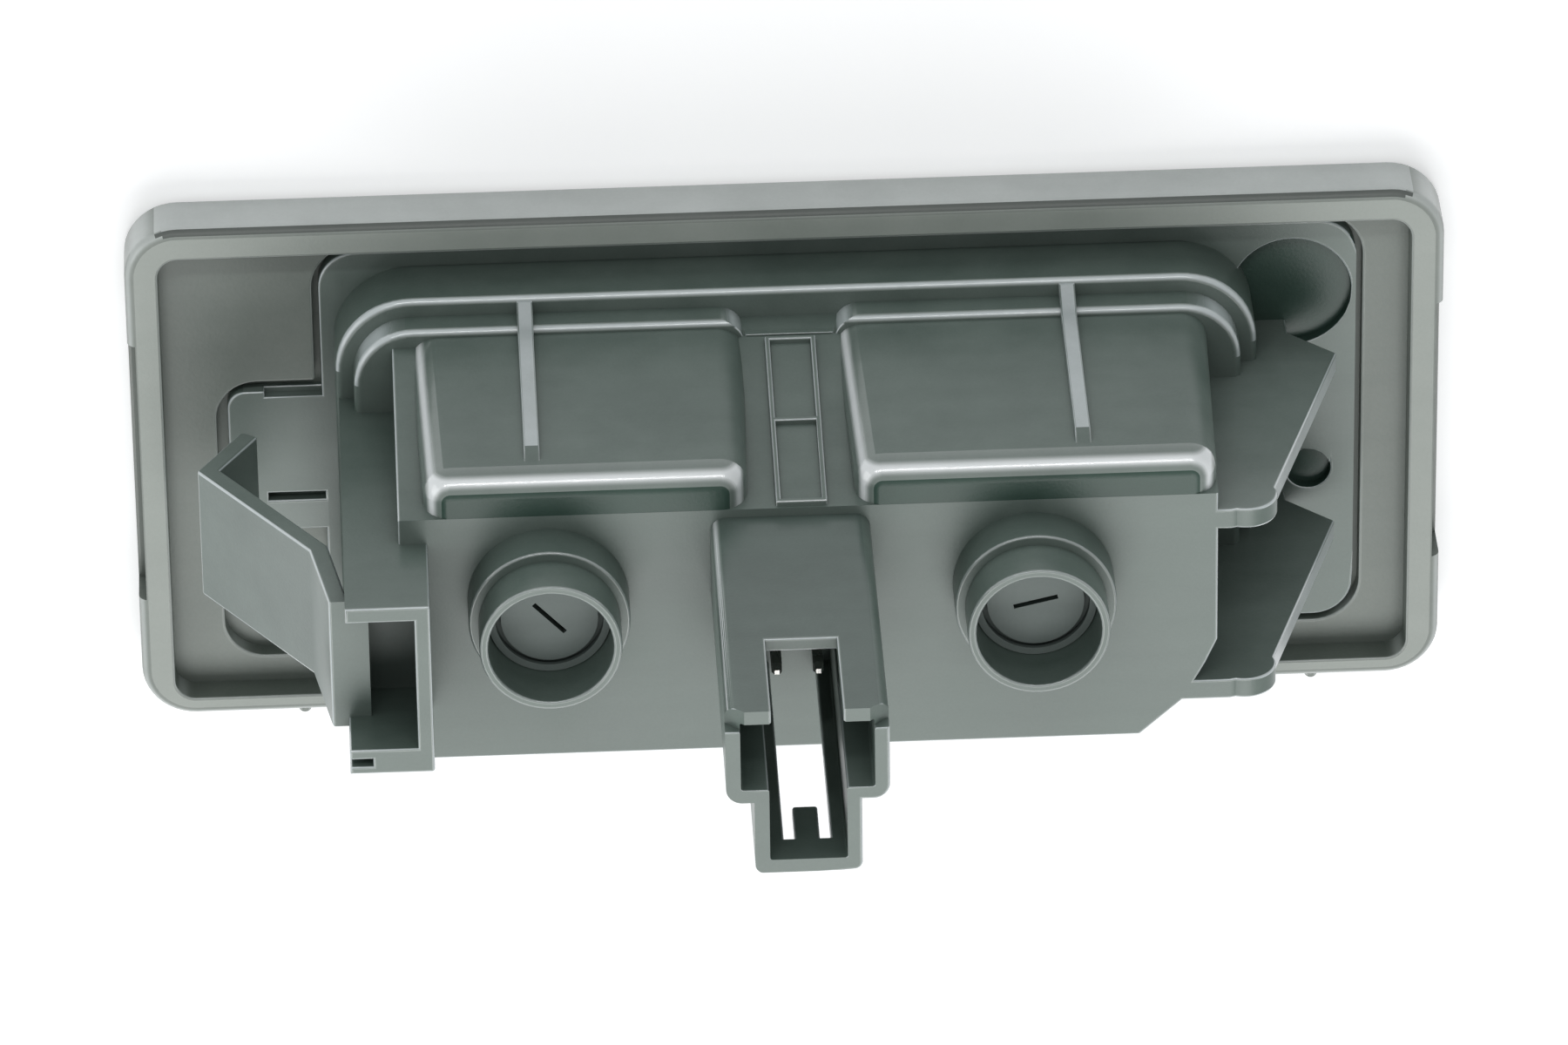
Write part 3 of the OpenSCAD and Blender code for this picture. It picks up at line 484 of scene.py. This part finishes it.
coverFrame = {
    "piece": "coverFrame", "slot": "frame_plastic",
    "finishes": frameFinishes, "prefix": "frame",
    "edge": 0.18,                           # mm
    "flatOnly": ("paintedDark", "crest"),
    "edgeOnly": (),
    "zones": [
        ((-41.6, -18.2, 0.5), (41.6, 17.6, 4.4), "edge", 0.50, 0.995),    # painted highlight on all outer roundings
        ((-41.6, 17.1, 0.2), (41.6, 17.7, 4.0), "litSkirt", 0.90, 1.01),     # painted light on the long outer wall
        ((-42, -18.5, 4.2), (42, 18, 4.4), "crest", 0.995, 1.01),         # painted light on the top of the rim
        ((-40.0, 17.1, 3.9), (41.6, 17.7, 4.4), "paintedDark", 0.50, 0.995),     # painted dark reflection on the slope above the wall
    ],
}

# how the outer edges are rounded
softening = {
    "merge": 0.002,         # mm, points closer than this are one
    "flatTurn": 0.6,        # degrees, faces that turn less are one face
    "sharpTurn": 32,        # degrees, edges that turn less stay as they are
    "closest": 0.02,        # mm, corners nearer than this belong to the edge itself
    "shortest": 0.5,        # mm, shorter edges don't limit a rounding
    "alongside": 0.7,       # cosine, edges that run together more than this limit each other
    "roomShare": 0.36,      # share of the free width that a rounding may take
    "leastShare": 0.15,     # share of the full rounding under which an edge stays sharp
    "segments": 2,
    "tries": 30,            # rounds of easing the edges near a fold
    "reach": 0.35,          # mm around a fold that is eased at first
    "reachGrows": 1.4,
    "mostReach": 1.0,       # mm
    "halveAbove": 0.3,      # greater shares are halved near a fold, smaller ones dropped
    "smoothTurn": 50,       # degrees, sharper turns keep a crisp line
    "roundTurn": 50,        # degrees, faces that a rounding shades together with
    "faceTurn": 30,         # degrees, the same for a flat face
}
foldLimits = {
    "share": 0.0005,        # of a face's area that filling it may add
    "least": 1e-9,          # m2 beyond that share
    "stripShare": 0.03,     # of a strip of rounding
    "stripArea": 2e-8,      # m2, smaller strips don't count
}
nothing = 1e-14             # shorter sums have no direction


def selectOnly(piece):
    for other in bpy.context.selected_objects:
        other.select_set(False)
    piece.select_set(True)
    bpy.context.view_layer.objects.active = piece


def roomAt(edge, face):
    # free width of a face beside one of its edges, in metres
    closest = softening["closest"] * mm
    start, end = (vertex.co for vertex in edge.verts)
    along = (end - start).normalized()
    length = (end - start).length
    room = 1.0  # no limit
    for vertex in face.verts:
        reach = vertex.co - start
        run = reach.dot(along)
        side = (reach - along * run).length
        if side > closest and -side < run < length + side:
            room = min(room, side)
    for other in face.edges:
        if other is edge or other.calc_length() < softening["shortest"] * mm:
            continue
        first, last = (vertex.co for vertex in other.verts)
        way = (last - first).normalized()
        if abs(way.dot(along)) > softening["alongside"]:
            middle = (start + end) / 2 - first
            run = middle.dot(way)
            if 0 < run < (last - first).length:
                side = (middle - way * run).length
                if side > closest:
                    room = min(room, side)
    return room


def markEdges(mesh, edge):
    # how much of the full rounding each edge can take; inner corners stay sharp
    sharpTurn = math.radians(softening["sharpTurn"])
    work = bmesh.new()
    work.from_mesh(mesh)
    weights = work.edges.layers.float.new("bevel_weight_edge")
    for line in work.edges:
        if len(line.link_faces) != 2 or not line.is_convex or line.calc_face_angle(0) < sharpTurn:
            continue
        room = min(roomAt(line, face) for face in line.link_faces)
        share = min(1.0, softening["roomShare"] * room / (edge * mm))
        line[weights] = share if share > softening["leastShare"] else 0
    work.to_mesh(mesh)
    work.free()


def crossings(mesh, face):
    # points where the border of a flat face crosses itself
    corners = [mesh.vertices[index].co for index in face.vertices]
    right = face.normal.orthogonal().normalized()
    up = face.normal.cross(right)
    flat = [Vector((corner.dot(right), corner.dot(up))) for corner in corners]
    names = list(face.vertices)
    count = len(flat)
    points = []
    for one in range(count):
        oneEnd = (one + 1) % count
        for two in range(one + 1, count):
            twoEnd = (two + 1) % count
            if {names[one], names[oneEnd]} & {names[two], names[twoEnd]}:
                continue
            met = intersect_line_line_2d(flat[one], flat[oneEnd], flat[two], flat[twoEnd])
            if met:
                points.append(right * met[0] + up * met[1] + face.normal * corners[0].dot(face.normal))
    return points or [corner.copy() for corner in corners]


def foldPoints(mesh):
    # places where a face's filling covers more than the face, because its border is folded
    mesh.calc_loop_triangles()
    filled = {}
    for triangle in mesh.loop_triangles:
        filled[triangle.polygon_index] = filled.get(triangle.polygon_index, 0) + triangle.area
    points = []
    for face in mesh.polygons:
        excess = abs(filled.get(face.index, 0) - face.area) - foldLimits["share"] * face.area
        if excess < foldLimits["least"]:
            continue
        if len(face.vertices) == 4:  # a long strip of rounding
            if excess > foldLimits["stripShare"] * face.area and face.area > foldLimits["stripArea"]:
                points.append(face.center.copy())
            continue
        points.extend(crossings(mesh, face))
    return points


def easeEdges(mesh, points, reach):
    # edges near a fold get half their rounding, or none
    work = bmesh.new()
    work.from_mesh(mesh)
    weights = work.edges.layers.float["bevel_weight_edge"]
    eased = 0
    for line in work.edges:
        if line[weights] == 0:
            continue
        start, end = (vertex.co for vertex in line.verts)
        for point in points:
            nearest, share = intersect_point_line(point, start, end)
            nearest = start + (end - start) * min(1, max(0, share))
            if (nearest - point).length < reach:
                line[weights] = line[weights] / 2 if line[weights] > softening["halveAbove"] else 0
                eased += 1
                break
    work.to_mesh(mesh)
    work.free()
    return eased


def settleNormals(mesh, roundingSlot):
    # flat faces keep their own normal, and the roundings between them take up the turn
    around = [[] for vertex in mesh.vertices]
    for face in mesh.polygons:
        for index in face.vertices:
            around[index].append(face)
    normals = []
    for face in mesh.polygons:
        rounding = face.material_index == roundingSlot
        limit = math.cos(math.radians(softening["roundTurn" if rounding else "faceTurn"]))
        for index in face.vertices:
            flat, turned = Vector(), Vector()
            for near in around[index]:
                if near.normal.dot(face.normal) < limit:
                    continue
                if near.material_index == roundingSlot:
                    turned += near.normal * near.area
                else:
                    flat += near.normal * near.area
            if rounding and flat.length < nothing:
                flat = turned
            normals.append(flat.normalized() if flat.length > nothing else face.normal)
    mesh.normals_split_custom_set(normals)


def finishZones(mesh, settings, roundingSlot):
    # finishes, with painted highlights, painted light and painted shade, of the large roundings, ribs,
    # walls and recesses that the solid already has
    names = list(settings["finishes"])
    for face in mesh.polygons:
        centre = face.center / mm
        slant = max(abs(part) for part in face.normal)
        rounding = face.material_index == roundingSlot
        for low, high, finish, least, most in settings["zones"]:
            inside = all(low[axis] < centre[axis] < high[axis] for axis in range(3))
            if not inside or not least < slant < most:
                continue
            if rounding and finish in settings["flatOnly"]:
                continue
            if not rounding and finish in settings["edgeOnly"]:
                continue
            face.material_index = names.index(finish)


def softCopy(nodeName, settings):
    # the node's own solid with its outer edges rounded
    piece = bpy.data.objects.new(settings["piece"], nodes[nodeName].data.copy())
    scene.collection.objects.link(piece)
    selectOnly(piece)
    bpy.ops.object.mode_set(mode="EDIT")
    bpy.ops.mesh.select_all(action="SELECT")
    bpy.ops.mesh.remove_doubles(threshold=softening["merge"] * mm)
    bpy.ops.mesh.dissolve_limited(angle_limit=math.radians(softening["flatTurn"]), delimit=set())
    bpy.ops.object.mode_set(mode="OBJECT")
    markEdges(piece.data, settings["edge"])
    piece.data.materials.clear()
    for finish, look in settings["finishes"].items():
        piece.data.materials.append(plasticMaterial(settings["prefix"] + finish.capitalize(), look))
    roundingSlot = list(settings["finishes"]).index("edge")
    sharpMesh = piece.data
    reach = softening["reach"] * mm
    for attempt in range(softening["tries"]):
        piece.data = sharpMesh.copy()
        soften = piece.modifiers.new("soften", "BEVEL")
        soften.limit_method = "WEIGHT"
        soften.width = settings["edge"] * mm
        soften.segments = softening["segments"]
        soften.material = roundingSlot
        soften.use_clamp_overlap = False
        bpy.ops.object.modifier_apply(modifier="soften")
        folds = foldPoints(piece.data)
        if not folds:
            break
        if not easeEdges(sharpMesh, folds, reach):
            reach = min(reach * softening["reachGrows"], softening["mostReach"] * mm)
    bpy.ops.object.shade_smooth_by_angle(angle=math.radians(softening["smoothTurn"]))
    settleNormals(piece.data, roundingSlot)
    finishZones(piece.data, settings, roundingSlot)
    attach(piece, "root")
    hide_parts(nodeName)
    print("  ", settings["piece"], len(piece.data.polygons), "faces,", len(folds), "folds left")


softCopy("rear_housing", rearHousing)
softCopy("cover_frame", coverFrame)
print("stage 4: mouldings softened")


# lamp parts that stay as the CAD has them, with their own finishes
def finishNode(name, material):
    for slot in nodes[name].material_slots:
        slot.material = material


rubberGrey = dict(housingPlastic, colour=(0.190, 0.225, 0.215), shade=(0.145, 0.178, 0.168),
                  grain=3800, roughness=0.52, depth=0.014, gloss=0.4)
headerBlack = dict(housingPlastic, colour=(0.030, 0.033, 0.034), shade=(0.018, 0.020, 0.021),
                   dust=(0.16, 0.16, 0.15), roughness=0.34, veil=0.10)
reflectorWhite = dict(housingPlastic, colour=(0.790, 0.795, 0.780), shade=(0.730, 0.735, 0.715),
                      dust=(0.60, 0.58, 0.53), roughness=0.26, spread=0.10, veil=0.06,
                      depth=0.004, coat=0.3)
for name in ("vent_plug_left", "vent_plug_right"):
    finishNode(name, plasticMaterial(name.replace("_", "") + "Rubber", rubberGrey))
finishNode("pin_header_block", plasticMaterial("headerBlack", headerBlack))
finishNode("reflector", plasticMaterial("reflectorWhite", reflectorWhite))

clearWindow = {
    "colour": (0.97, 0.985, 0.98), "tint": (0.92, 0.95, 0.945),
    "ripple": 90, "depth": 0.01,                    # scale and depth in mm of the moulding ripples
    "haze": 420, "patches": 4, "dull": 0.5,         # small dull patches of handling
    "roughness": 0.03, "bend": 1.49,
}


def windowMaterial(settings):
    # clear moulding with faint moulding ripples and a few dull patches of handling
    material, tree, shader, place = newMaterial("clearWindow")
    vector = place.outputs["Object"]
    ripple = noiseNode(tree, vector, settings["ripple"], 2, 0.5)
    haze = noiseNode(tree, vector, settings["haze"], 4, 0.65)
    patches = mathNode(tree, "POWER", haze, settings["patches"])
    dull = mathNode(tree, "MULTIPLY_ADD", patches, settings["dull"], settings["roughness"])
    tree.links.new(dull, shader.inputs["Roughness"])
    colour = mixColour(tree, haze, settings["colour"], settings["tint"])
    tree.links.new(colour, shader.inputs["Base Color"])
    shader.inputs["Transmission Weight"].default_value = 1.0
    shader.inputs["IOR"].default_value = settings["bend"]
    addBump(tree, shader, ripple, settings["depth"])
    return material


finishNode("window_lens", windowMaterial(clearWindow))

boardGreen = {
    "colour": (0.030, 0.165, 0.075), "shade": (0.018, 0.110, 0.050), "cloud": 260,
    "track": (0.075, 0.290, 0.120), "trackShows": 0.75, "trackOffset": 0.37,
    "trackLength": 9.0, "trackPitch": 1.6, "trackWidth": 0.22, "trackBlur": 0.1,  # lengths in mm
    "tin": (0.70, 0.70, 0.66), "tinMetal": 0.9,
    "holes": 260, "holeSize": 0.16,                 # scale, and share of the cell
    "roughness": 0.22, "spread": 0.2, "depth": 0.03,
}


def boardMaterial(settings):
    # green solder mask over copper tracks that run along and across the board, with plated holes
    material, tree, shader, place = newMaterial("boardGreen")
    vector = place.outputs["Object"]
    tracks = tree.nodes.new("ShaderNodeTexBrick")
    tracks.offset = settings["trackOffset"]
    tracks.inputs["Scale"].default_value = 1.0
    tracks.inputs["Brick Width"].default_value = settings["trackLength"] * mm
    tracks.inputs["Row Height"].default_value = settings["trackPitch"] * mm
    tracks.inputs["Mortar Size"].default_value = settings["trackWidth"] * mm
    tracks.inputs["Mortar Smooth"].default_value = settings["trackBlur"]
    tree.links.new(vector, tracks.inputs["Vector"])
    cells = tree.nodes.new("ShaderNodeTexVoronoi")
    cells.inputs["Scale"].default_value = settings["holes"]
    tree.links.new(vector, cells.inputs["Vector"])
    hole = mathNode(tree, "LESS_THAN", cells.outputs["Distance"], settings["holeSize"])
    cloud = noiseNode(tree, vector, settings["cloud"], 3, 0.6)
    mask = mixColour(tree, cloud, settings["shade"], settings["colour"])
    shown = mathNode(tree, "MULTIPLY", tracks.outputs["Fac"], settings["trackShows"])
    copper = mixColour(tree, shown, mask, settings["track"])
    plated = mixColour(tree, hole, copper, settings["tin"])
    metal = mathNode(tree, "MULTIPLY", hole, settings["tinMetal"])
    rough = mathNode(tree, "MULTIPLY_ADD", cloud, settings["spread"], settings["roughness"])
    tree.links.new(plated, shader.inputs["Base Color"])
    tree.links.new(metal, shader.inputs["Metallic"])
    tree.links.new(rough, shader.inputs["Roughness"])
    addBump(tree, shader, tracks.outputs["Fac"], settings["depth"])
    return material


finishNode("circuit_board", boardMaterial(boardGreen))

chipBlack = {
    "colour": (0.030, 0.030, 0.032), "shade": (0.016, 0.016, 0.018), "cloud": 1400,
    "mark": (0.72, 0.71, 0.68), "metal": 0.9,
    "ends": 0.34,                                   # tinned beyond this share of the length
    "roughness": 0.25, "spread": 0.25, "depth": 0.01,
}
diodeBlack = dict(chipBlack, mark=(0.55, 0.55, 0.55), metal=0.0,
                  band=(0.26, 0.38))                # a light band in place of the tinned ends
capacitorTan = dict(chipBlack, colour=(0.46, 0.33, 0.20), shade=(0.36, 0.25, 0.15))


def chipMaterial(name, settings):
    # body of a small part with tinned ends, or with one light band
    low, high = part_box(name)
    size = [high[axis] - low[axis] for axis in range(3)]
    axis = 0 if size[0] > size[1] else 1
    material, tree, shader, place = newMaterial(name.replace("_", "") + "Finish")
    vector = place.outputs["Object"]
    split = tree.nodes.new("ShaderNodeSeparateXYZ")
    tree.links.new(vector, split.inputs[0])
    along = mathNode(tree, "SUBTRACT", split.outputs["XYZ"[axis]], (low[axis] + high[axis]) / 2)
    if "band" in settings:
        bandStart, bandEnd = (size[axis] * share for share in settings["band"])
        past = mathNode(tree, "GREATER_THAN", along, bandStart)
        marked = mathNode(tree, "MULTIPLY", past, mathNode(tree, "LESS_THAN", along, bandEnd))
    else:
        away = mathNode(tree, "ABSOLUTE", along)
        marked = mathNode(tree, "GREATER_THAN", away, size[axis] * settings["ends"])
    cloud = noiseNode(tree, vector, settings["cloud"], 3, 0.6)
    body = mixColour(tree, cloud, settings["shade"], settings["colour"])
    colour = mixColour(tree, marked, body, settings["mark"])
    metal = mathNode(tree, "MULTIPLY", marked, settings["metal"])
    rough = mathNode(tree, "MULTIPLY_ADD", cloud, settings["spread"], settings["roughness"])
    tree.links.new(colour, shader.inputs["Base Color"])
    tree.links.new(metal, shader.inputs["Metallic"])
    tree.links.new(rough, shader.inputs["Roughness"])
    addBump(tree, shader, cloud, settings["depth"])
    return material


for name in ("resistor_1", "resistor_2", "resistor_3", "resistor_4"):
    finishNode(name, chipMaterial(name, chipBlack))
for name in ("rectifier_diode", "surge_suppressor"):
    finishNode(name, chipMaterial(name, diodeBlack))
for name in ("capacitor_1", "capacitor_2"):
    finishNode(name, chipMaterial(name, capacitorTan))

lightDiode = {
    "colour": (0.80, 0.58, 0.08), "deep": (0.70, 0.46, 0.05),   # field of phosphor
    "case": (0.76, 0.75, 0.70), "shade": (0.70, 0.69, 0.64),
    "share": 0.38,                                  # radius of the field, of the case's length
    "cloud": 1800, "roughness": 0.25, "spread": 0.2, "depth": 0.05,
}


def lightDiodeMaterial(name, settings):
    # white case with a round yellow field of phosphor in its middle
    low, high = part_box(name)
    material, tree, shader, place = newMaterial(name.replace("_", "") + "Finish")
    vector = place.outputs["Object"]
    away = tree.nodes.new("ShaderNodeVectorMath")
    away.operation = "DISTANCE"
    away.inputs[1].default_value = [(low[0] + high[0]) / 2, (low[1] + high[1]) / 2, low[2]]
    tree.links.new(vector, away.inputs[0])
    radius = (high[0] - low[0]) * settings["share"]
    field = mathNode(tree, "LESS_THAN", away.outputs["Value"], radius)
    cloud = noiseNode(tree, vector, settings["cloud"], 3, 0.6)
    case = mixColour(tree, cloud, settings["shade"], settings["case"])
    glow = mixColour(tree, cloud, settings["deep"], settings["colour"])
    rough = mathNode(tree, "MULTIPLY_ADD", cloud, settings["spread"], settings["roughness"])
    tree.links.new(mixColour(tree, field, case, glow), shader.inputs["Base Color"])
    tree.links.new(rough, shader.inputs["Roughness"])
    addBump(tree, shader, field, settings["depth"])
    return material


for name in ("light_diode_left", "light_diode_right"):
    finishNode(name, lightDiodeMaterial(name, lightDiode))

pinTin = {
    "colour": (0.80, 0.79, 0.76), "shade": (0.62, 0.61, 0.58),
    "marks": 9000, "along": (1.0, 1.0, 0.05),       # draw marks run up the pin
    "blotch": 700, "roughness": 0.15, "spread": 0.3, "depth": 0.004,
}


def tinMaterial(settings):
    # tinned pins with fine draw marks along their length and duller blotches
    material, tree, shader, place = newMaterial("pinTin")
    vector = place.outputs["Object"]
    marks = noiseNode(tree, stretched(tree, vector, settings["along"]), settings["marks"], 2, 0.5)
    blotch = noiseNode(tree, vector, settings["blotch"], 3, 0.6)
    colour = mixColour(tree, blotch, settings["shade"], settings["colour"])
    rough = mathNode(tree, "MULTIPLY_ADD", blotch, settings["spread"], settings["roughness"])
    tree.links.new(colour, shader.inputs["Base Color"])
    tree.links.new(rough, shader.inputs["Roughness"])
    shader.inputs["Metallic"].default_value = 1.0
    addBump(tree, shader, marks, settings["depth"])
    return material


tinFinish = tinMaterial(pinTin)
for name in ("contact_pin_left", "contact_pin_right"):
    finishNode(name, tinFinish)
print("stage 5: finishes set")
